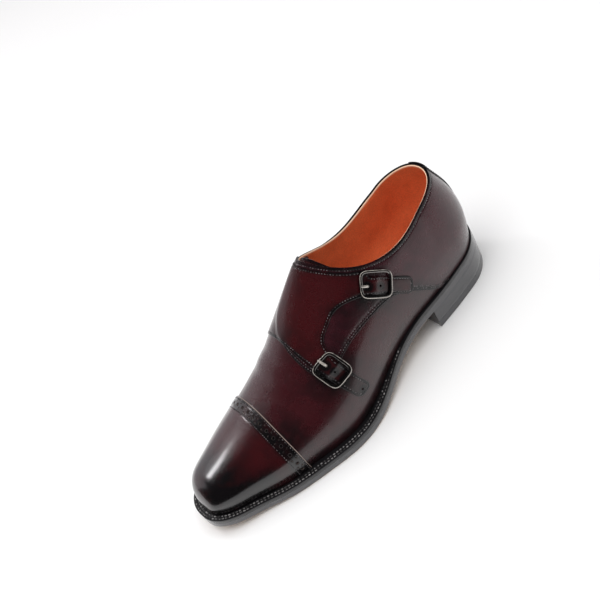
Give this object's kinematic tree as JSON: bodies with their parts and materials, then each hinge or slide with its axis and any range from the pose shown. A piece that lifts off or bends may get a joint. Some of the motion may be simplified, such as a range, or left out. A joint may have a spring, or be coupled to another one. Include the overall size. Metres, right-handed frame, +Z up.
{
  "type": "monk strap shoe",
  "caption": "Left leather dress shoe with a straight toe cap and a flap closed by straps and buckles on the outer side, on a welted leather sole with a low stacked heel.",
  "frame": {"origin": "middle of the shoe's overall length and width, on the ground it stands on", "axes": "+X towards the toe, +Y towards the lateral (outer, buckle) side, +Z up"},
  "size_m": [0.3038, 0.105, 0.1078],
  "materials": {
    "upper_leather": "polished burgundy calf, burnished darker at the seams",
    "flap_leather": "polished burgundy calf",
    "cap_leather": "burgundy calf burnished almost black at the toe",
    "stay_leather": "polished burgundy calf",
    "tongue_leather": "burgundy calf",
    "lining": "natural tan lining leather, matt",
    "welt_leather": "black, stitched",
    "sole_leather": "black polished edge",
    "heel_leather": "black polished edge",
    "heel_rubber": "satin black",
    "buckle_metal": "dark gunmetal plating"
  },
  "bodies": {
    "root": {"outsole": "sole_leather", "welt": "welt_leather", "heel_stack": "heel_leather", "heel_top_piece": "heel_rubber", "insole": "lining", "upper": "upper_leather", "tongue": "tongue_leather", "toe_cap": "cap_leather", "backstay": "stay_leather", "monk_flap": "flap_leather", "buckle_upper": "buckle_metal", "prong_upper": "buckle_metal", "buckle_lower": "buckle_metal", "prong_lower": "buckle_metal"}
  },
  "joints": []
}
